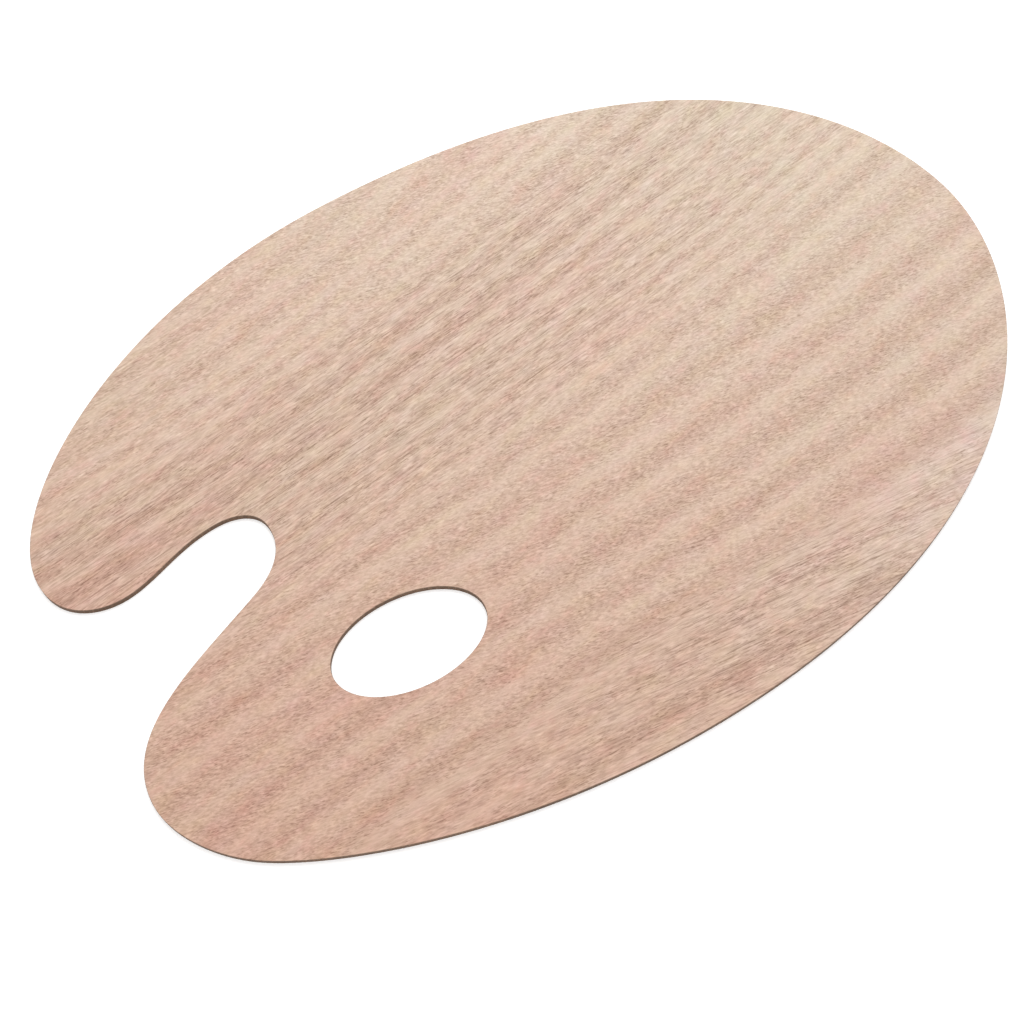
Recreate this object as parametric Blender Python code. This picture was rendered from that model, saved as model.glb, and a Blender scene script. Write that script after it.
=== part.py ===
"""An oval mixing palette cut from thin three-ply wood.

The board lies flat with its working face up.  +X runs along the oval's long axis
towards the free end, +Y runs across it towards the thumb lobe, and +Z is up.  The
origin is the centre of the board's box, on the surface the board lies on.

The board is a sandwich: a decorative veneer, a glue line, a thick core ply whose
grain runs across, another glue line and a back veneer.  The sandwich is laminated
first and cut afterwards, so all five layers share one outline: the rim, with the
notch that the thumb rests in, and the finger hole.
"""

import math

import bpy

# Driving dimensions, in metres.
LENGTH = 0.432
WIDTH = 0.2985
THICKNESS = 0.003
VENEER_THICKNESS = 0.0006
GLUE_THICKNESS = 0.0001
# The layers are bonded; this hair of space only keeps their faces from crossing.
BOND_SPACE = 0.000005
CORE_THICKNESS = THICKNESS - 2 * VENEER_THICKNESS - 2 * GLUE_THICKNESS - 4 * BOND_SPACE

# The rim, walked anticlockwise seen from above.  Each knot is a point in
# millimetres, the heading of the rim there in degrees, and how far the curve keeps
# to that heading before and after the knot, in millimetres.
HALF_LENGTH = LENGTH * 500.0
HALF_WIDTH = WIDTH * 500.0
RIM_KNOTS = (
    (HALF_LENGTH, -3.5, 90, 58, 64),  # free end of the oval
    (-24.5, HALF_WIDTH, 180, 180, 108),  # widest place, thumb side
    (-212.5, 48.5, 270, 39, 19),  # end of the thumb lobe
    (-187.0, 24.0, 0, 10, 14),  # round underside of the thumb lobe
    (-142.0, 32.5, 0, 18, 11),  # notch, crest of its upper side
    (-124.0, 19.5, 270, 8, 11),  # notch, inner end
    (-144.0, -4.0, 201, 14, 36),  # notch, lower side
    (-HALF_LENGTH, -58.0, 270, 32, 12),  # end of the finger lobe
    (-193.0, -97.5, 322, 18, 25),  # shoulder of the finger lobe
    (-2.0, -HALF_WIDTH, 0, 101, 153),  # widest place, finger side
)

# The finger hole is an ellipse.
HOLE_CENTRE_MM = (-103.3, -54.9)
HOLE_HALF_LENGTH_MM = 32.4
HOLE_HALF_WIDTH_MM = 19.6
HOLE_TILT_DEGREES = -6.0
# Handle length that makes a quarter of a circle from one cubic curve.
QUARTER_ARC_HANDLE = 4.0 / 3.0 * (math.sqrt(2.0) - 1.0)

# Straight steps along each stretch between two knots.
STEPS_PER_STRETCH = 24

MM = 0.001


def along(point, degrees, distance):
    """The place at a distance from a point, both in millimetres, in a direction."""
    angle = math.radians(degrees)
    x = point[0] + distance * math.cos(angle)
    y = point[1] + distance * math.sin(angle)
    return (x, y)


def finger_hole_knots():
    """The ellipse's four knots, in the same form as the rim's."""
    half_sizes = (HOLE_HALF_LENGTH_MM, HOLE_HALF_WIDTH_MM)
    knots = []
    for quarter in range(4):
        outward = HOLE_TILT_DEGREES + 90 * quarter
        reach = half_sizes[quarter % 2]
        handle = QUARTER_ARC_HANDLE * half_sizes[(quarter + 1) % 2]
        x, y = along(HOLE_CENTRE_MM, outward, reach)
        knots.append((x, y, outward + 90, handle, handle))
    return knots


def add_closed_spline(curve, knots):
    """Adds one closed Bezier loop through the knots to a 2D curve."""
    spline = curve.splines.new("BEZIER")
    spline.bezier_points.add(len(knots) - 1)
    spline.use_cyclic_u = True
    for bezier_point, (x, y, heading, before, after) in zip(spline.bezier_points, knots):
        left = along((x, y), heading, -before)
        right = along((x, y), heading, after)
        bezier_point.handle_left_type = "FREE"
        bezier_point.handle_right_type = "FREE"
        bezier_point.co = (x * MM, y * MM, 0.0)
        bezier_point.handle_left = (left[0] * MM, left[1] * MM, 0.0)
        bezier_point.handle_right = (right[0] * MM, right[1] * MM, 0.0)


def layer_object(name, bottom, top, material, collection):
    """One layer of the board: the shared outline, filled between two heights."""
    curve = bpy.data.curves.new(name, "CURVE")
    curve.dimensions = "2D"
    curve.fill_mode = "BOTH"
    curve.resolution_u = STEPS_PER_STRETCH
    curve.extrude = (top - bottom) / 2.0
    add_closed_spline(curve, RIM_KNOTS)
    add_closed_spline(curve, finger_hole_knots())
    curve.materials.append(material)
    layer = bpy.data.objects.new(name, curve)
    layer.location = (0.0, 0.0, (top + bottom) / 2.0)
    collection.objects.link(layer)
    return layer


def wood_material(name, colour, roughness):
    """Bare, unvarnished wood, or the dry glue between two plies."""
    material = bpy.data.materials.new(name)
    material.use_nodes = True
    shader = material.node_tree.nodes["Principled BSDF"]
    shader.inputs["Base Color"].default_value = (*colour, 1.0)
    shader.inputs["Roughness"].default_value = roughness
    shader.inputs["Metallic"].default_value = 0.0
    material.diffuse_color = (*colour, 1.0)
    return material


def back_veneer(bottom, collection):
    """The plain veneer the board lies on."""
    top = bottom + VENEER_THICKNESS
    material = wood_material("back_veneer", (0.60, 0.42, 0.31), 0.65)
    layer_object("back_veneer", bottom, top, material, collection)
    return top


def glue_line(name, bottom, collection):
    """A film of brown resin glue between a veneer and the core."""
    top = bottom + GLUE_THICKNESS
    material = wood_material(name, (0.10, 0.05, 0.03), 0.5)
    layer_object(name, bottom, top, material, collection)
    return top


def core_ply(bottom, collection):
    """The thick middle ply, its grain across the board."""
    top = bottom + CORE_THICKNESS
    material = wood_material("core_ply", (0.38, 0.25, 0.17), 0.75)
    layer_object("core_ply", bottom, top, material, collection)
    return top


def face_veneer(bottom, collection):
    """The figured veneer that paint is mixed on."""
    top = bottom + VENEER_THICKNESS
    material = wood_material("face_veneer", (0.68, 0.49, 0.37), 0.6)
    layer_object("face_veneer", bottom, top, material, collection)
    return top


def main():
    for leftover in list(bpy.data.objects):
        bpy.data.objects.remove(leftover, do_unlink=True)
    collection = bpy.data.collections.new("mixing_palette")
    bpy.context.scene.collection.children.link(collection)

    height = back_veneer(0.0, collection)
    height = glue_line("lower_glue_line", height + BOND_SPACE, collection)
    height = core_ply(height + BOND_SPACE, collection)
    height = glue_line("upper_glue_line", height + BOND_SPACE, collection)
    face_veneer(height + BOND_SPACE, collection)


main()
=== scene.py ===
"""The mixing palette's finished look: thin laser-cut plywood lying on a pale floor.

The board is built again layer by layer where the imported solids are, with a finer rim,
eased arrises and a slightly rough cut edge, and every surface gets a procedural wood or
resin material.  Lengths in the outline, the layers and the wood's patterns are in
millimetres, and those of the floor, the lamp and the camera are in metres.
"""

import math

import bpy
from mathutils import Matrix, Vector, noise
from mathutils.geometry import delaunay_2d_cdt


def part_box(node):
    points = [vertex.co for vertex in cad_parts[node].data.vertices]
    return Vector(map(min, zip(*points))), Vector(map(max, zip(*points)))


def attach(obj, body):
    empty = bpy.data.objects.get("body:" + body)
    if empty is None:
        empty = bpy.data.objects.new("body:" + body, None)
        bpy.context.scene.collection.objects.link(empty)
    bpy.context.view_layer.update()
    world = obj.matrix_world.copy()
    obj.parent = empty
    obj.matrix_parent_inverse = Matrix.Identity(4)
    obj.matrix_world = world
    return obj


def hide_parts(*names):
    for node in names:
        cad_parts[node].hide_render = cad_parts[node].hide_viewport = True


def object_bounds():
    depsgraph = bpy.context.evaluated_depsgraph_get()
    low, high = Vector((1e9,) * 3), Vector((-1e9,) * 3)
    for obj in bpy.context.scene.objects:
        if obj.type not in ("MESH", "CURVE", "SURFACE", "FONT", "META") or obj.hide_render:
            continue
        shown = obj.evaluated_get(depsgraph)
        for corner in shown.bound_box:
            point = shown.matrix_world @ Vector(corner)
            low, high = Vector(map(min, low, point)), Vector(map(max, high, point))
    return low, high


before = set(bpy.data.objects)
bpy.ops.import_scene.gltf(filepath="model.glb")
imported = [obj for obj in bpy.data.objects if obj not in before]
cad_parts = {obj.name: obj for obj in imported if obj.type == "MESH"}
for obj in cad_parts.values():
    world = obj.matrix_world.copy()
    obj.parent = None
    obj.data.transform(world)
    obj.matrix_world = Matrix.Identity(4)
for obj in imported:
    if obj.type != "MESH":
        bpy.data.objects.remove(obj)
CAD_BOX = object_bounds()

MM = 0.001

# ---------------------------------------------------------------- the board's outline

BOARD_LOW, BOARD_HIGH = (Vector(corner) for corner in CAD_BOX)
HALF_LENGTH = (BOARD_HIGH.x - BOARD_LOW.x) / 2 / MM
HALF_WIDTH = (BOARD_HIGH.y - BOARD_LOW.y) / 2 / MM

# The rim, walked anticlockwise: a point in millimetres, the heading there in degrees,
# and how far the curve keeps to it before and after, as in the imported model.
RIM_KNOTS = (
    (HALF_LENGTH, -3.5, 90, 58, 64),  # free end of the oval
    (-24.5, HALF_WIDTH, 180, 180, 108),  # widest place, thumb side
    (-212.5, 48.5, 270, 39, 19),  # end of the thumb lobe
    (-187.0, 24.0, 0, 10, 14),  # round underside of the thumb lobe
    (-142.0, 32.5, 0, 18, 11),  # notch, crest of its upper side
    (-124.0, 19.5, 270, 8, 11),  # notch, inner end
    (-144.0, -4.0, 201, 14, 36),  # notch, lower side
    (-HALF_LENGTH, -58.0, 270, 32, 12),  # end of the finger lobe
    (-193.0, -97.5, 322, 18, 25),  # shoulder of the finger lobe
    (-2.0, -HALF_WIDTH, 0, 101, 153),  # widest place, finger side
)
HOLE_CENTRE = (-103.3, -54.9)
HOLE_HALF_SIZES = (32.4, 19.6)
HOLE_TILT = math.radians(-6.0)

STEP_MM = 0.9  # distance between neighbouring points along an edge
FINE_STEPS = 400  # steps in which a curve is first walked, before its points are spaced
HOLE_STEPS = 720  # the same for the hole's ellipse


def bezier_stretch(start, end):
    """Points along the curve from one knot to the next, without the last one."""
    start_x, start_y, start_heading, _, reach_after = start
    end_x, end_y, end_heading, reach_before, _ = end
    start_angle, end_angle = math.radians(start_heading), math.radians(end_heading)
    a = Vector((start_x, start_y))
    d = Vector((end_x, end_y))
    b = a + reach_after * Vector((math.cos(start_angle), math.sin(start_angle)))
    c = d - reach_before * Vector((math.cos(end_angle), math.sin(end_angle)))
    fine = [
        (1 - t) ** 3 * a + 3 * (1 - t) ** 2 * t * b + 3 * (1 - t) * t * t * c + t ** 3 * d
        for t in (i / FINE_STEPS for i in range(FINE_STEPS + 1))
    ]
    return even_steps(fine)


def even_steps(points):
    """The same open line with its points evenly spaced, about STEP_MM apart."""
    lengths = [0.0]
    for a, b in zip(points, points[1:]):
        lengths.append(lengths[-1] + (b - a).length)
    count = max(3, round(lengths[-1] / STEP_MM))
    spaced = []
    k = 0
    for i in range(count):
        wanted = lengths[-1] * i / count
        while lengths[k + 1] < wanted:
            k += 1
        share = (wanted - lengths[k]) / (lengths[k + 1] - lengths[k])
        spaced.append(points[k].lerp(points[k + 1], share))
    return spaced


def rim_loop():
    """The rim as a closed ring of points, in millimetres, anticlockwise."""
    ring = []
    for start, end in zip(RIM_KNOTS, RIM_KNOTS[1:] + RIM_KNOTS[:1]):
        ring += bezier_stretch(start, end)
    return ring


def hole_loop():
    """The finger hole as a closed ring, clockwise, so the wood lies on its left."""
    long_half, short_half = HOLE_HALF_SIZES
    fine = []
    for i in range(HOLE_STEPS + 1):
        angle = -math.tau * i / HOLE_STEPS
        x, y = long_half * math.cos(angle), short_half * math.sin(angle)
        turned_x = x * math.cos(HOLE_TILT) - y * math.sin(HOLE_TILT)
        turned_y = x * math.sin(HOLE_TILT) + y * math.cos(HOLE_TILT)
        fine.append(Vector((HOLE_CENTRE[0] + turned_x, HOLE_CENTRE[1] + turned_y)))
    return even_steps(fine)


def inward_normals(ring):
    """For each point of a ring, the unit direction into the wood."""
    count = len(ring)
    normals = []
    for i in range(count):
        along = (ring[(i + 1) % count] - ring[i - 1]).normalized()
        normals.append(Vector((-along.y, along.x)))
    return normals


EDGES = [(ring, inward_normals(ring)) for ring in (rim_loop(), hole_loop())]


def spread_points(spacing, margin):
    """A staggered lattice of places in the wood, clear of every edge."""
    reach_x, reach_y = int(HALF_LENGTH / spacing), int(HALF_WIDTH / spacing)
    edge_cells = {}
    for ring, _ in EDGES:
        for point in ring:
            edge_cells.setdefault((point.x // margin, point.y // margin), []).append(point)
    places = []
    for row in range(-reach_y, reach_y + 1):
        for column in range(-reach_x, reach_x + 1):
            place = Vector(((column + 0.5 * (row % 2)) * spacing, row * spacing))
            cell_x, cell_y = place.x // margin, place.y // margin
            near = [
                point
                for i in (-1, 0, 1)
                for j in (-1, 0, 1)
                for point in edge_cells.get((cell_x + i, cell_y + j), ())
            ]
            crowded = any((point - place).length < margin for point in near)
            if not crowded and in_wood(place):
                places.append(place)
    return places


def in_wood(place):
    """Whether a place lies inside the rim and outside the hole."""
    inside = False
    for ring, _ in EDGES:
        for a, b in zip(ring, ring[1:] + ring[:1]):
            if (a.y > place.y) != (b.y > place.y):
                crossing = a.x + (place.y - a.y) / (b.y - a.y) * (b.x - a.x)
                if crossing > place.x:
                    inside = not inside
    return inside


SPREAD_POINTS = spread_points(spacing=8.0, margin=7.0)

# ---------------------------------------------------------------- one layer as a mesh

FACE_INSETS = (0.4, 1.6, 4.0)  # rings on a veneer's face that carry the scorch
HIDDEN_INSET = 1.6  # the ring where the flat middle of a glued face begins
EASE_STEPS = 3  # straight steps around an eased arris


def cut_roughness(x, y, z, amount):
    """How far the cut edge strays inwards at a place: coarse waves with finer ones on them."""
    place = Vector((x * 1.3, y * 1.3, z * 3.0))
    return amount * (0.5 + 0.5 * noise.noise(place)) + 0.4 * amount * abs(noise.noise(place * 3.1))


def layer_profile(bottom, top, recess, ease_top, ease_bottom, rows):
    """The wall's section from the bottom face's inner ring to the top face's.

    Each entry is (inset, height, roughness share), in millimetres.
    """
    profile = []
    if ease_bottom:
        profile += [(inset, bottom, 0.0) for inset in reversed(FACE_INSETS)]
        for i in range(EASE_STEPS + 1):
            angle = math.radians(90 * i / EASE_STEPS)
            inset = recess + ease_bottom * (1 - math.sin(angle))
            profile.append((inset, bottom + ease_bottom * (1 - math.cos(angle)), i / EASE_STEPS))
    else:
        profile += [(HIDDEN_INSET, bottom, 0.0), (recess, bottom, 1.0)]
    wall_low = bottom + ease_bottom
    wall_high = top - ease_top
    for i in range(1, rows):
        profile.append((recess, wall_low + (wall_high - wall_low) * i / rows, 1.0))
    if ease_top:
        for i in range(EASE_STEPS + 1):
            angle = math.radians(90 * i / EASE_STEPS)
            inset = recess + ease_top * (1 - math.cos(angle))
            profile.append((inset, top - ease_top * (1 - math.sin(angle)), 1 - i / EASE_STEPS))
        profile += [(inset, top, 0.0) for inset in FACE_INSETS]
    else:
        profile += [(recess, top, 1.0), (HIDDEN_INSET, top, 0.0)]
    return profile


def layer_mesh(name, profile, roughness):
    """A closed plate with the board's outline, its edge following the profile."""
    vertices, insets, faces = [], [], []
    bottom_rings, top_rings = [], []
    for ring, normals in EDGES:
        count = len(ring)
        first = len(vertices)
        for inset, height, share in profile:
            for point, normal in zip(ring, normals):
                stray = share * cut_roughness(point.x, point.y, height, roughness)
                place = point + normal * (inset + stray)
                vertices.append((place.x * MM, place.y * MM, height * MM))
                insets.append(inset)
        for row in range(len(profile) - 1):
            low = first + row * count
            for i in range(count):
                j = (i + 1) % count
                faces.append((low + i, low + j, low + count + j, low + count + i))
        last = first + (len(profile) - 1) * count
        bottom_rings.append(list(range(first, first + count)))
        top_rings.append(list(range(last, last + count)))
    faces += [corners[::-1] for corners in flat_face(vertices, insets, bottom_rings)]
    faces += flat_face(vertices, insets, top_rings)
    mesh = bpy.data.meshes.new(name)
    mesh.from_pydata(vertices, [], faces)
    attribute = mesh.attributes.new("inset_mm", "FLOAT", "POINT")
    attribute.data.foreach_set("value", insets)
    mesh.shade_smooth()
    mesh.set_sharp_from_angle(angle=math.radians(50))
    return mesh


def flat_face(vertices, insets, rings):
    """Fills a face between its rim ring and its hole ring with even triangles.

    New points, spread over the face, are added to the vertices.  Triangles that would
    close the hole, with every corner on its ring, are left out.
    """
    corners = [index for ring in rings for index in ring]
    borders = [(a, b) for ring in rings for a, b in zip(ring, ring[1:] + ring[:1])]
    height = vertices[corners[0]][2]
    scattered = [Vector(place) * MM for place in SPREAD_POINTS]
    places = [Vector(vertices[index][:2]) for index in corners] + scattered
    slots = {index: slot for slot, index in enumerate(corners)}
    edges = [(slots[a], slots[b]) for a, b in borders]
    rim = [slots[index] for index in rings[0]]
    hole = set(slots[index] for index in rings[1])
    first_new = len(vertices)
    vertices += [(place.x, place.y, height) for place in scattered]
    insets += [insets[corners[0]]] * len(scattered)
    made_places, _, triangles, sources, *_ = delaunay_2d_cdt(places, edges, [rim], 1, 1e-9)
    assert len(made_places) == len(places)
    indices = [
        corners[source[0]] if source[0] < len(corners) else first_new + source[0] - len(corners)
        for source in sources
    ]
    return [
        tuple(indices[made] for made in triangle)
        for triangle in triangles
        if not all(sources[made][0] in hole for made in triangle)
    ]


# ---------------------------------------------------------------- material building


def srgb(red, green, blue):
    """A display colour, 0 to 255, as a linear RGBA value."""
    linear = []
    for value in (red, green, blue):
        share = value / 255
        linear.append(share / 12.92 if share <= 0.04045 else ((share + 0.055) / 1.055) ** 2.4)
    return (*linear, 1.0)


EXPOSURE = 1.335  # how much brighter than its own colour the lamps show the wood


def wood(colour):
    """The base colour that looks like this display colour under the studio's lamps."""
    red, green, blue, alpha = srgb(*colour)
    return (red / EXPOSURE, green / EXPOSURE, blue / EXPOSURE, alpha)


# The veneers' display colours, each at its tone between dark, 0, and pale, 1.
FACE_TONES = (
    (0.0, (161, 131, 111)),
    (0.25, (188, 158, 138)),
    (0.5, (212, 183, 162)),
    (0.75, (237, 208, 187)),
    (1.0, (254, 233, 211)),
)
BACK_TONES = (
    (0.0, (146, 111, 89)),
    (0.25, (172, 138, 115)),
    (0.5, (198, 163, 140)),
    (0.75, (222, 189, 165)),
    (1.0, (240, 212, 190)),
)
# The scorched cut's and the glue's own base colours, in the same form.
CUT_TONES = ((0.0, (54, 39, 28)), (0.5, (96, 72, 54)), (1.0, (148, 115, 88)))
GLUE_TONES = ((0.3, (44, 32, 25)), (0.7, (76, 56, 44)))

NOISE_REACH = 2.6  # brings noise's usual swing about its middle up to 1 either way


class Graph:
    """A material's nodes, with a short call for each kind that the wood uses.

    Its x, y and z are the place on the board, in millimetres.
    """

    def __init__(self, name):
        self.material = bpy.data.materials.new(name)
        self.material.use_nodes = True
        self.tree = self.material.node_tree
        self.shader = self.tree.nodes["Principled BSDF"]
        coordinates = self.tree.nodes.new("ShaderNodeTexCoord")
        scale = self.tree.nodes.new("ShaderNodeVectorMath")
        scale.operation = "SCALE"
        scale.inputs["Scale"].default_value = 1 / MM
        self.feed(scale.inputs[0], coordinates.outputs["Object"])
        self.x, self.y, self.z = self.split(scale.outputs[0])

    def feed(self, socket, value):
        """Connects another node's output to a socket, or sets the socket's own value."""
        if isinstance(value, bpy.types.NodeSocket):
            self.tree.links.new(value, socket)
        else:
            socket.default_value = value

    def math(self, operation, *values):
        node = self.tree.nodes.new("ShaderNodeMath")
        node.operation = operation
        for socket, value in zip(node.inputs, values):
            self.feed(socket, value)
        return node.outputs[0]

    def add(self, a, b):
        return self.math("ADD", a, b)

    def less(self, a, b):
        return self.math("SUBTRACT", a, b)

    def times(self, a, b):
        return self.math("MULTIPLY", a, b)

    def point(self, x, y, z=0.0):
        node = self.tree.nodes.new("ShaderNodeCombineXYZ")
        for socket, value in zip(node.inputs, (x, y, z)):
            self.feed(socket, value)
        return node.outputs[0]

    def split(self, vector):
        """A vector's three numbers."""
        node = self.tree.nodes.new("ShaderNodeSeparateXYZ")
        self.feed(node.inputs[0], vector)
        return node.outputs

    def vectors(self, operation, a, b):
        """Two vectors added or subtracted."""
        node = self.tree.nodes.new("ShaderNodeVectorMath")
        node.operation = operation
        self.feed(node.inputs[0], a)
        self.feed(node.inputs[1], b)
        return node.outputs[0]

    def figured(self, line, length, width, seed):
        """A place for noise whose patches lie along the figure's lines."""
        return self.point(self.times(self.x, 1 / length), self.times(line, 1 / width), seed)

    def crumbs(self, size, height):
        """A place for noise on the cut edge, whose specks are this large and this high."""
        return self.point(
            self.times(self.x, 1 / size), self.times(self.y, 1 / size), self.times(self.z, 1 / height)
        )

    def attribute(self, name):
        node = self.tree.nodes.new("ShaderNodeAttribute")
        node.attribute_name = name
        return node.outputs["Fac"]

    def noise(self, place, detail=2.0, roughness=0.5, dimensions="3D"):
        """Smooth noise, about 0 to 1 around a middle of 0.5."""
        node = self.tree.nodes.new("ShaderNodeTexNoise")
        node.noise_dimensions = dimensions
        self.feed(node.inputs["W" if dimensions == "1D" else "Vector"], place)
        node.inputs["Scale"].default_value = 1.0
        node.inputs["Detail"].default_value = detail
        node.inputs["Roughness"].default_value = roughness
        return node.outputs["Fac"]

    def centred(self, noise_level, amount):
        """Noise moved to lie around zero, mostly within plus or minus the amount."""
        return self.times(self.add(noise_level, -0.5), NOISE_REACH * amount)

    def swing(self, place, amount, **settings):
        """New noise around zero, mostly within plus or minus the amount."""
        return self.centred(self.noise(place, **settings), amount)

    def band(self, value, low, high, bottom=0.0, top=1.0):
        """The value's smooth rise between two limits, as bottom to top."""
        node = self.tree.nodes.new("ShaderNodeMapRange")
        node.interpolation_type = "SMOOTHSTEP"
        for socket, number in zip(node.inputs, (value, low, high, bottom, top)):
            self.feed(socket, number)
        return node.outputs["Result"]

    def blend(self, share, a, b):
        """A number between a and b, by the share of b."""
        # The node's sockets 2 and 3 are the ones for plain numbers.
        node = self.tree.nodes.new("ShaderNodeMix")
        for socket, value in zip((node.inputs[0], node.inputs[2], node.inputs[3]), (share, a, b)):
            self.feed(socket, value)
        return node.outputs[0]

    def mix(self, share, a, b, blend="MIX"):
        """A colour between a and b, or a with b laid over it in another way."""
        node = self.tree.nodes.new("ShaderNodeMix")
        # The node's sockets 6 and 7 and its output 2 are the ones for colours.
        node.data_type = "RGBA"
        node.blend_type = blend
        self.feed(node.inputs[0], share)
        self.feed(node.inputs[6], a)
        self.feed(node.inputs[7], b)
        return node.outputs[2]

    def tint(self, share, colour, factors):
        """A colour whose red, green and blue are multiplied, where the share is 1."""
        return self.mix(share, colour, (*factors, 1.0), "MULTIPLY")

    def ramp(self, value, stops):
        node = self.tree.nodes.new("ShaderNodeValToRGB")
        elements = node.color_ramp.elements
        while len(elements) < len(stops):
            elements.new(0.5)
        for element, (place, colour) in zip(elements, stops):
            element.position = place
            element.color = colour
        self.feed(node.inputs[0], value)
        return node.outputs[0]

    def grey_ramp(self, value, stops):
        return self.ramp(value, [(place, (level, level, level, 1.0)) for place, level in stops])

    def finish(self, colour, roughness, height, relief_mm):
        """Connects the wood's colour, roughness and relief to its shader."""
        self.feed(self.shader.inputs["Base Color"], colour)
        self.feed(self.shader.inputs["Roughness"], roughness)
        self.shader.inputs["Specular IOR Level"].default_value = 0.3
        bump = self.tree.nodes.new("ShaderNodeBump")
        bump.inputs["Distance"].default_value = relief_mm * MM
        self.feed(bump.inputs["Height"], height)
        self.feed(self.shader.inputs["Normal"], bump.outputs[0])
        return self.material


# ---------------------------------------------------------------- the face's figure

# The figure's lines start at the hand's end and, measured in hundreds of millimetres
# towards the free end, rise and spread apart by these powers of the distance.
GRAIN_RISE = (5.35, 2.19, -0.034)
GRAIN_SPREAD = (-0.121, 0.095, -0.0119)

# The veneer's ribbons, from the finger side to the thumb side: where each one's pale
# lower line lies, in millimetres at the hand's end, and how dark it gets above it.
RIBBONS = (
    (-157, 1.5),
    (-140, 0.3),
    (-123, 0.8),
    (-106, 0.85),
    (-90, 0.95),
    (-71, 0.7),
    (-53, 0.7),
    (-32, 0.6),
    (-17, 0.2),
    (-7, 0.5),
    (0, 0.5),
    (8, 0.4),
    (20, 0.5),
    (30, 1.1),
    (45, 1.1),
    (58, 0.7),
    (70, 0.1),
    (79, 0.15),
    (89, 0.3),
    (110, 0.4),
    (127, 0.2),
)
RIBBON_FIRST, RIBBON_LAST = RIBBONS[0][0], 140
DARKEST = 0.42  # share of a ribbon's width from its pale line to its darkest place
RIBBON_PLAIN = 0.55  # level between a pale line's 1 and a dark place's 0 that changes nothing


def powers(graph, distance, factors):
    """factors[0] x distance + factors[1] x its square + ..."""
    total = graph.times(factors[-1], distance)
    for factor in reversed(factors[:-1]):
        total = graph.times(graph.add(total, factor), distance)
    return total


def grain_line(graph):
    """Which line of the figure a place lies on, in millimetres at the hand's end."""
    distance = graph.times(graph.add(graph.x, HALF_LENGTH), 0.01)
    rise = powers(graph, distance, GRAIN_RISE)
    spread = graph.add(powers(graph, distance, GRAIN_SPREAD), 1.0)
    line = graph.math("DIVIDE", graph.less(graph.y, rise), spread)
    slow = graph.point(graph.times(graph.x, 0.012), graph.times(line, 0.02))
    quick = graph.point(graph.times(graph.x, 0.06), graph.times(line, 0.09), 7.0)
    waves = graph.add(graph.swing(slow, 1.6, detail=1.0), graph.swing(quick, 0.7, detail=1.0))
    return graph.add(line, waves)


def ribbon_tone(graph, line):
    """Pale at each ribbon's line, quickly dark above it, then slowly pale again.

    The stops are shared out over two ramps, because one can't hold them all.
    """
    reach = RIBBON_LAST - RIBBON_FIRST
    edges = [place for place, _ in RIBBONS] + [RIBBON_LAST]
    stops = []
    for (place, darkness), above in zip(RIBBONS, edges[1:]):
        dark_place = place + DARKEST * (above - place)
        stops.append(((place - RIBBON_FIRST) / reach, 1.0))
        stops.append(((dark_place - RIBBON_FIRST) / reach, RIBBON_PLAIN * (1.0 - darkness)))
    half = 2 * (len(RIBBONS) // 2) + 1
    share = graph.times(graph.add(line, -RIBBON_FIRST), 1 / reach)
    lower = graph.grey_ramp(share, stops[:half])
    upper = graph.grey_ramp(share, stops[half - 1 :])
    is_upper = graph.math("GREATER_THAN", share, stops[half - 1][0])
    return graph.add(graph.mix(is_upper, lower, upper), -RIBBON_PLAIN)


def face_ribbons(graph, line):
    """Ribbons, strong in some places along their length and faint in others."""
    strength = graph.noise(graph.figured(line, 55.0, 18.0, 14.0), detail=1.0)
    return graph.times(ribbon_tone(graph, line), graph.band(strength, 0.25, 0.7, 0.55, 1.35))


def face_zones(graph, line):
    """How far a place has the short grain, the rim's straight grain or the open grain.

    The short grain lies below, on the finger side, and in flecks far up the thumb side,
    the straight grain beside the finger side's rim, and the open grain in the middle.
    """
    edge = graph.add(line, graph.swing(graph.times(graph.x, 0.02), 8.0, dimensions="1D"))
    below = graph.band(edge, -60.0, 25.0, 1.0, 0.0)
    flecks = graph.band(graph.add(line, graph.times(graph.x, 0.1)), 52.0, 72.0)
    flecks = graph.times(flecks, graph.band(graph.x, -110.0, -30.0, 0.45, 0.9))
    short = graph.math("MAXIMUM", below, flecks)
    rim = graph.band(edge, -128.0, -110.0, 1.0, 0.0)
    opened = graph.band(graph.math("ABSOLUTE", graph.add(line, -26.0)), 26.0, 52.0, 1.0, 0.0)
    opened = graph.times(opened, graph.band(graph.x, 40.0, 190.0, 1.0, 0.3))
    return short, rim, opened


# ---------------------------------------------------------------- grain and pores

# The fibres' rise towards the free end: on the face's thumb side, on its finger side
# and beside its finger side's rim, and on the back.
UPPER_SLOPE = 0.08
LOWER_SLOPE = -0.25
RIM_SLOPE = -0.15
BACK_SLOPE = -0.03


def slanted(graph, slope, length, width, seed):
    """A stretched place for noise whose streaks rise by the slope."""
    across = graph.less(graph.y, graph.times(graph.x, slope))
    along = graph.add(graph.x, graph.times(graph.y, slope))
    return graph.point(graph.times(along, 1 / length), graph.times(across, 1 / width), seed)


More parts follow.
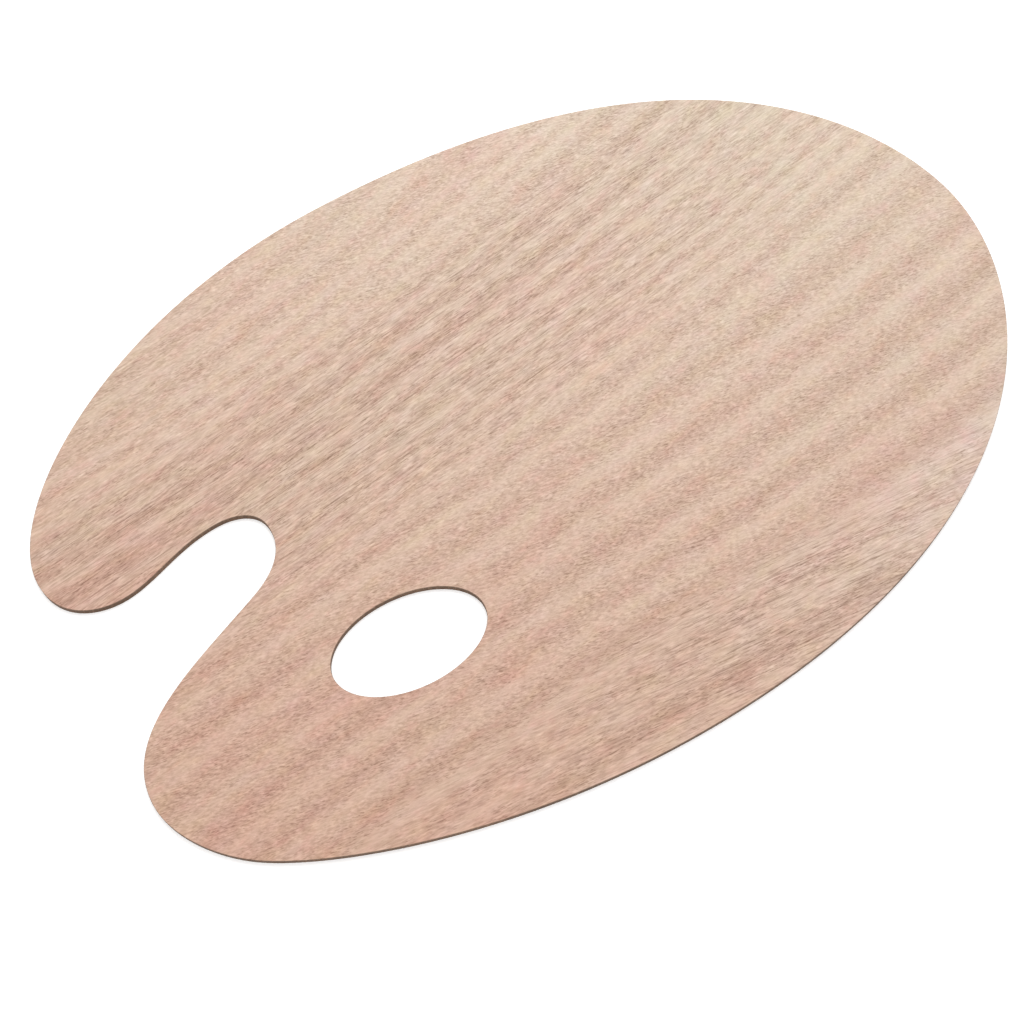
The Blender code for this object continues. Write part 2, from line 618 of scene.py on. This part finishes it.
def long_grain(graph, slope, seed):
    """Straight-grained wood: its fibres, its mottling and its long dark hairs."""
    fibre = graph.noise(slanted(graph, slope, 5.0, 0.85, seed), detail=3.0, roughness=0.6)
    mottle = graph.noise(slanted(graph, slope, 9.0, 2.2, seed + 2.0), detail=3.0, roughness=0.6)
    long_hair = graph.noise(slanted(graph, slope, 34.0, 0.7, seed + 4.0), detail=2.0, roughness=0.6)
    short_hair = graph.noise(slanted(graph, slope + 0.02, 10.0, 0.7, seed + 14.0), detail=1.0)
    hairs = graph.add(
        graph.band(long_hair, 0.55, 0.68), graph.times(graph.band(short_hair, 0.56, 0.72), 0.8)
    )
    return graph.centred(fibre, 1.0), graph.centred(mottle, 1.1), hairs


def short_grain(graph, slope, seed):
    """Wood whose fibres dip under the surface: short fibres and rounder mottling."""
    fibre = graph.noise(slanted(graph, slope, 2.2, 0.85, seed), detail=3.0, roughness=0.6)
    mottle = graph.noise(slanted(graph, slope, 4.2, 2.6, seed + 2.0), detail=2.0)
    return graph.centred(fibre, 1.0), graph.centred(mottle, 0.75)


def kept_lively(graph, share):
    """What a blend of two unlike patterns is multiplied by to keep its contrast."""
    overlap = graph.times(graph.times(share, graph.less(1.0, share)), 1.64)
    return graph.add(overlap, 1.0)


def face_grain(graph, short, rim, opened):
    """The face's fibres, mottling and hairs, each grain laid in its own direction."""
    upper = long_grain(graph, UPPER_SLOPE, 1.0)
    lower = short_grain(graph, LOWER_SLOPE, 2.0)
    beside_rim = long_grain(graph, RIM_SLOPE, 30.0)
    lively = kept_lively(graph, short)
    fibre, mottle = (
        graph.blend(rim, graph.times(graph.blend(short, high, low), lively), near)
        for high, low, near in zip(upper, lower, beside_rim)
    )
    # Hairs beside the rim are thickest in the middle of the board's length.
    rim_hairs = graph.times(rim, graph.band(graph.x, -110.0, 20.0, 0.3, 1.25))
    rim_hairs = graph.times(rim_hairs, graph.band(graph.x, 40.0, 130.0, 1.0, 0.6))
    hairs = graph.add(graph.times(upper[2], opened), graph.times(beside_rim[2], rim_hairs))
    return fibre, mottle, hairs


def pores(graph, cell, size, slope, seed):
    """Short dashes, one to a cell, as 0 to 1: each has its own length, tilt and depth.

    The cell's length and width are in millimetres, as are the dash's half length and
    half width.
    """
    place = graph.point(graph.times(graph.x, 1 / cell[0]), graph.times(graph.y, 1 / cell[1]))
    place = graph.vectors("ADD", place, (seed * 13.7, seed * 7.3, 0.0))
    cells = graph.tree.nodes.new("ShaderNodeTexVoronoi")
    cells.voronoi_dimensions = "2D"
    cells.inputs["Scale"].default_value = 1.0
    graph.feed(cells.inputs["Vector"], place)
    away_x, away_y, _ = graph.split(graph.vectors("SUBTRACT", place, cells.outputs["Position"]))
    chances = graph.tree.nodes.new("ShaderNodeSeparateColor")
    graph.feed(chances.inputs[0], cells.outputs["Color"])
    length_chance, depth, tilt_chance = chances.outputs
    along = graph.times(away_x, cell[0])
    tilt = graph.add(slope, graph.times(graph.add(tilt_chance, -0.5), 0.12))
    across = graph.less(graph.times(away_y, cell[1]), graph.times(along, tilt))
    end = graph.math("DIVIDE", along, graph.times(graph.add(length_chance, 0.6), size[0]))
    side = graph.times(across, 1 / size[1])
    reach = graph.add(graph.times(end, end), graph.times(side, side))
    return graph.times(graph.band(reach, 0.1, 1.0, 1.0, 0.0), depth)


def face_pores(graph, ribbon, slope):
    """Small and large pores, thicker in a ribbon's dark part than on its pale line."""
    small = pores(graph, (2.3, 0.75), (0.9, 0.24), slope, 1.0)
    large = pores(graph, (4.6, 1.1), (2.0, 0.22), slope, 2.0)
    crowd = graph.noise(slanted(graph, 0.05, 16.0, 5.0, 6.0), detail=2.0)
    crowd = graph.less(crowd, graph.times(ribbon, 0.22))
    return graph.times(graph.math("MAXIMUM", small, large), graph.band(crowd, 0.36, 0.62, 0.25, 1.0))


def relief(graph, fibre, holes, hairs):
    """The wood's height: raised fibres, with its pores and hairs sunk in."""
    height = graph.less(graph.times(fibre, 0.8), graph.times(holes, 1.2))
    return graph.less(height, hairs)


# ---------------------------------------------------------------- the finishes

# The veneers' middle tones, and how far each pattern moves them towards dark, 0, or pale, 1.
FACE_MIDDLE = 0.575
RIBBON_DEPTH = 0.148
FIBRE_DEPTH = 0.39
MOTTLE_DEPTH = 0.23
PORE_DEPTH = 0.34
HAIR_DEPTH = 0.28

BACK_MIDDLE = 0.58
BACK_STREAK_DEPTH = 0.2
BACK_FIBRE_DEPTH = 0.34
BACK_MOTTLE_DEPTH = 0.2
BACK_PORE_DEPTH = 0.4
BACK_HAIR_DEPTH = 0.22

# Faint patches of tint over the whole face: their length and width in millimetres, their
# seed, and what red, green and blue are multiplied by where the noise is high and low.
TINTS = (
    (12.0, 7.0, 8.0, (1.015, 0.93, 0.945), (0.993, 1.03, 1.01)),  # small, pink and olive
    (16.0, 7.0, 10.0, (1.0, 1.0, 1.05), (1.0, 1.0, 0.935)),  # small, blue and yellow
    (100.0, 50.0, 9.0, (1.0, 0.92, 0.937), (0.98, 1.013, 1.0)),  # broad, pink and olive
)

# Painted light: what red, green and blue gain for each metre towards the free end or the thumb side,
# where the lamp shines more brightly.
PAINTED_LIGHT_GAINS = (0.12, 0.5, 0.6)


def cut_colour(graph):
    """The scorched edge: cut fibre ends, mottled and streaked down the laser's path."""
    mottle = graph.noise(graph.crumbs(1.6, 0.5), detail=3.0, roughness=0.65)
    streaks = graph.noise(graph.crumbs(0.5, 6.0), detail=1.0)
    drift = graph.noise(graph.figured(graph.y, 30.0, 30.0, 5.0), detail=2.0)
    tone = graph.add(0.5, graph.times(graph.add(mottle, -0.5), 0.65))
    tone = graph.add(tone, graph.times(graph.add(streaks, -0.5), 0.55))
    tone = graph.add(tone, graph.times(graph.add(drift, -0.5), 0.5))
    return graph.ramp(tone, [(place, srgb(*colour)) for place, colour in CUT_TONES])


def scorched(graph, colour, clear_of_cut, full_at_cut, strongest):
    """A veneer's colour, browned from a distance off the cut edge right up to it."""
    scorch = graph.band(graph.attribute("inset_mm"), full_at_cut, clear_of_cut, strongest, 0.0)
    return graph.mix(scorch, colour, cut_colour(graph))


def face_tints(graph, colour, line, ribbon, rim):
    """The face's colour with all that drifts over it, a painted lighting gradient included."""
    # Dark parts of the ribbons are redder.
    colour = graph.tint(graph.band(ribbon, 0.45, -0.5), colour, (1.012, 0.97, 0.97))
    for length, width, seed, high_tint, low_tint in TINTS:
        patch = graph.noise(graph.figured(line, length, width, seed), detail=3.0, roughness=0.6)
        colour = graph.tint(graph.band(patch, 0.48, 0.75), colour, high_tint)
        colour = graph.tint(graph.band(patch, 0.52, 0.25), colour, low_tint)

    # Pale, greyish wood beside the rim of the finger side, palest near the free end.
    greyed = graph.times(rim, graph.band(graph.x, -30.0, 60.0))
    colour = graph.tint(greyed, colour, (1.02, 1.05, 1.075))
    bleached = graph.times(rim, graph.band(graph.x, 40.0, 130.0))
    colour = graph.tint(bleached, colour, (1.03, 1.08, 1.11))

    # Painted light, not the wood's own colour: paler, less pink towards the free end and the thumb
    # side, where the lamp shines more brightly.
    drift = graph.times(graph.add(graph.x, graph.y), MM)
    factors = (graph.add(graph.times(drift, gain), 1.0) for gain in PAINTED_LIGHT_GAINS)
    return graph.mix(1.0, colour, graph.point(*factors), "MULTIPLY")


def face_veneer_material():
    """Figured veneer: broad ribbons, mottled and gritty with short pores."""
    graph = Graph("figured_face_veneer")
    line = grain_line(graph)
    ribbon = face_ribbons(graph, line)
    short, rim, opened = face_zones(graph, line)
    fibre, mottle, hairs = face_grain(graph, short, rim, opened)
    slope = graph.blend(rim, graph.blend(short, UPPER_SLOPE, LOWER_SLOPE), RIM_SLOPE)
    holes = face_pores(graph, ribbon, slope)

    # Grain is calmer on the ribbons' pale lines and towards the free end.
    calm = graph.band(ribbon, 0.1, 0.45, 1.0, 0.68)
    calm = graph.times(calm, graph.band(graph.x, 60.0, 190.0, 1.0, 0.86))
    tone = graph.add(FACE_MIDDLE, graph.times(ribbon, RIBBON_DEPTH))
    tone = graph.add(tone, graph.times(graph.times(fibre, FIBRE_DEPTH), calm))
    tone = graph.add(tone, graph.times(graph.times(mottle, MOTTLE_DEPTH), calm))
    tone = graph.less(tone, graph.times(holes, PORE_DEPTH))
    tone = graph.less(tone, graph.times(hairs, HAIR_DEPTH))

    colour = graph.ramp(tone, [(place, wood(shade)) for place, shade in FACE_TONES])
    colour = face_tints(graph, colour, line, ribbon, rim)
    colour = scorched(graph, colour, clear_of_cut=0.24, full_at_cut=0.0, strongest=0.88)
    roughness = graph.add(0.58, graph.times(holes, 0.2))
    return graph.finish(colour, roughness, relief(graph, fibre, holes, hairs), relief_mm=0.04)


def back_veneer_material():
    """Plainer veneer: straight streaks, hairs and open pores, darker than the face."""
    graph = Graph("plain_back_veneer")
    bend = graph.point(graph.times(graph.x, 0.006), graph.times(graph.y, 0.01), 60.0)
    line = graph.add(graph.y, graph.swing(bend, 6.0))
    streak = graph.swing(graph.figured(line, 200.0, 10.0, 61.0), 1.0, detail=3.0)
    fibre, mottle, hairs = long_grain(graph, BACK_SLOPE, 62.0)

    # Pores and hairs gather in some stretches of the grain and leave others clear.
    crowd = graph.noise(graph.figured(line, 60.0, 8.0, 64.0), detail=2.0)
    crowd = graph.band(crowd, 0.38, 0.62, 0.15, 1.0)
    holes = graph.times(pores(graph, (4.6, 0.95), (2.0, 0.24), BACK_SLOPE, 3.0), crowd)
    hairs = graph.times(hairs, crowd)

    tone = graph.add(BACK_MIDDLE, graph.times(streak, BACK_STREAK_DEPTH))
    tone = graph.add(tone, graph.times(fibre, BACK_FIBRE_DEPTH))
    tone = graph.add(tone, graph.times(mottle, BACK_MOTTLE_DEPTH))
    tone = graph.less(tone, graph.times(holes, BACK_PORE_DEPTH))
    tone = graph.less(tone, graph.times(hairs, BACK_HAIR_DEPTH))

    # The laser leaves the board here, so it has toasted a line of the back as well.
    colour = graph.ramp(tone, [(place, wood(shade)) for place, shade in BACK_TONES])
    colour = graph.tint(graph.band(streak, 0.6, -0.7), colour, (1.02, 0.94, 0.93))
    colour = scorched(graph, colour, clear_of_cut=0.9, full_at_cut=0.05, strongest=0.9)
    roughness = graph.add(0.64, graph.times(holes, 0.18))
    return graph.finish(colour, roughness, relief(graph, fibre, holes, hairs), relief_mm=0.05)


def core_material():
    """The middle ply, of which only its scorched edge shows."""
    graph = Graph("scorched_core_ply")
    fibre_ends = graph.noise(graph.crumbs(1.2, 0.4), detail=3.0, roughness=0.65)
    roughness = graph.add(0.64, graph.times(fibre_ends, 0.14))
    return graph.finish(cut_colour(graph), roughness, fibre_ends, relief_mm=0.1)


def glue_material():
    """Brown resin, almost black where the cut has burnt it."""
    graph = Graph("resin_glue_line")
    mottle = graph.noise(graph.crumbs(2.0, 1.0), detail=3.0)
    colour = graph.ramp(mottle, [(place, srgb(*shade)) for place, shade in GLUE_TONES])
    roughness = graph.add(0.45, graph.times(mottle, 0.15))
    return graph.finish(colour, roughness, mottle, relief_mm=0.02)


# ---------------------------------------------------------------- the five layers

EASE = 0.16  # how far sanding has rounded the board's arrises, millimetres
CUT_ROUGHNESS = 0.05  # about how far the cut wall strays, millimetres
GLUE_RECESS = 0.07  # how far the laser has eaten the glue back, millimetres


def add_layer(name, node, material, recess=0.0, ease_top=0.0, ease_bottom=0.0, rows=2):
    """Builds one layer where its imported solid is, and lets it stand for that solid."""
    low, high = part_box(node)
    profile = layer_profile(low.z / MM, high.z / MM, recess, ease_top, ease_bottom, rows)
    mesh = layer_mesh(name, profile, CUT_ROUGHNESS)
    mesh.materials.append(material)
    piece = bpy.data.objects.new(name, mesh)
    bpy.context.scene.collection.objects.link(piece)
    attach(piece, "root")
    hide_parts(node)


def build_board():
    """The five layers, from the top one down."""
    glue = glue_material()
    add_layer(
        "figured_face_veneer", "face_veneer", face_veneer_material(), ease_top=EASE
    )
    add_layer("upper_glue_film", "upper_glue_line", glue, recess=GLUE_RECESS)
    add_layer("scorched_core_ply", "core_ply", core_material(), rows=5)
    add_layer("lower_glue_film", "lower_glue_line", glue, recess=GLUE_RECESS)
    add_layer(
        "plain_back_veneer", "back_veneer", back_veneer_material(), ease_bottom=EASE
    )


# ---------------------------------------------------------------- floor, light, camera

FLOOR_REACH = 4.0
FLOOR_DROP = 0.00005  # keeps the floor from touching the board's back
FLOOR_WHITE = (0.95, 0.95, 0.95, 1.0)
FLOOR_GLOW = 0.3
PURE_WHITE = (1.0, 1.0, 1.0, 1.0)
SURROUNDINGS = 0.95  # strength of the light from all around
LAMP_SIZE = 0.9
LAMP_WATTS = 6.0
LAMP_PLACE = (0.35, 0.45, 0.95)
LAMP_TARGET = (0.05, 0.05, 0.0)
CAMERA_LENS = 51.76  # focal length in millimetres, on a sensor 36 mm wide
CAMERA_PLACE = (-0.1852, -0.2668, 0.5293)
CAMERA_TARGET = (-0.03925, -0.03075, 0.003)
CAMERA_ROLL = -2.475


def add_floor():
    """A plain white floor just under the board, lit faintly from below like a light table."""
    mesh = bpy.data.meshes.new("studio_floor")
    ends = ((-1, -1), (1, -1), (1, 1), (-1, 1))
    corners = [(x * FLOOR_REACH, y * FLOOR_REACH, -FLOOR_DROP) for x, y in ends]
    mesh.from_pydata(corners, [], [(0, 1, 2, 3)])
    material = bpy.data.materials.new("studio_floor")
    material.use_nodes = True
    shader = material.node_tree.nodes["Principled BSDF"]
    shader.inputs["Base Color"].default_value = FLOOR_WHITE
    shader.inputs["Roughness"].default_value = 0.9
    shader.inputs["Specular IOR Level"].default_value = 0.1
    shader.inputs["Emission Color"].default_value = PURE_WHITE
    shader.inputs["Emission Strength"].default_value = FLOOR_GLOW
    mesh.materials.append(material)
    floor = bpy.data.objects.new("studio_floor", mesh)
    bpy.context.scene.collection.objects.link(floor)


def add_lights():
    """Even white surroundings and one large soft lamp over the free end."""
    world = bpy.data.worlds.new("studio")
    world.use_nodes = True
    background = world.node_tree.nodes["Background"]
    background.inputs["Color"].default_value = PURE_WHITE
    background.inputs["Strength"].default_value = SURROUNDINGS
    bpy.context.scene.world = world

    lamp = bpy.data.lights.new("soft_box", "AREA")
    lamp.shape = "SQUARE"
    lamp.size = LAMP_SIZE
    lamp.energy = LAMP_WATTS
    lamp_object = bpy.data.objects.new("soft_box", lamp)
    lamp_object.location = LAMP_PLACE
    aim_at(lamp_object, Vector(LAMP_TARGET), 0.0)
    bpy.context.scene.collection.objects.link(lamp_object)


def aim_at(thing, target, roll_degrees):
    """Points a camera's or lamp's view at a target, then rolls it about that line."""
    direction = target - thing.location
    thing.rotation_euler = direction.to_track_quat("-Z", "Y").to_euler()
    thing.rotation_euler.rotate_axis("Z", math.radians(roll_degrees))


def add_camera():
    """The view from the hand's side, steeply down at the board."""
    data = bpy.data.cameras.new("camera")
    data.sensor_width = 36.0
    data.lens = CAMERA_LENS
    data.clip_start = 0.01
    camera = bpy.data.objects.new("camera", data)
    camera.location = CAMERA_PLACE
    aim_at(camera, Vector(CAMERA_TARGET), CAMERA_ROLL)
    bpy.context.scene.collection.objects.link(camera)
    bpy.context.scene.camera = camera


bpy.context.scene.view_settings.view_transform = "Standard"
build_board()
add_floor()
add_lights()
add_camera()
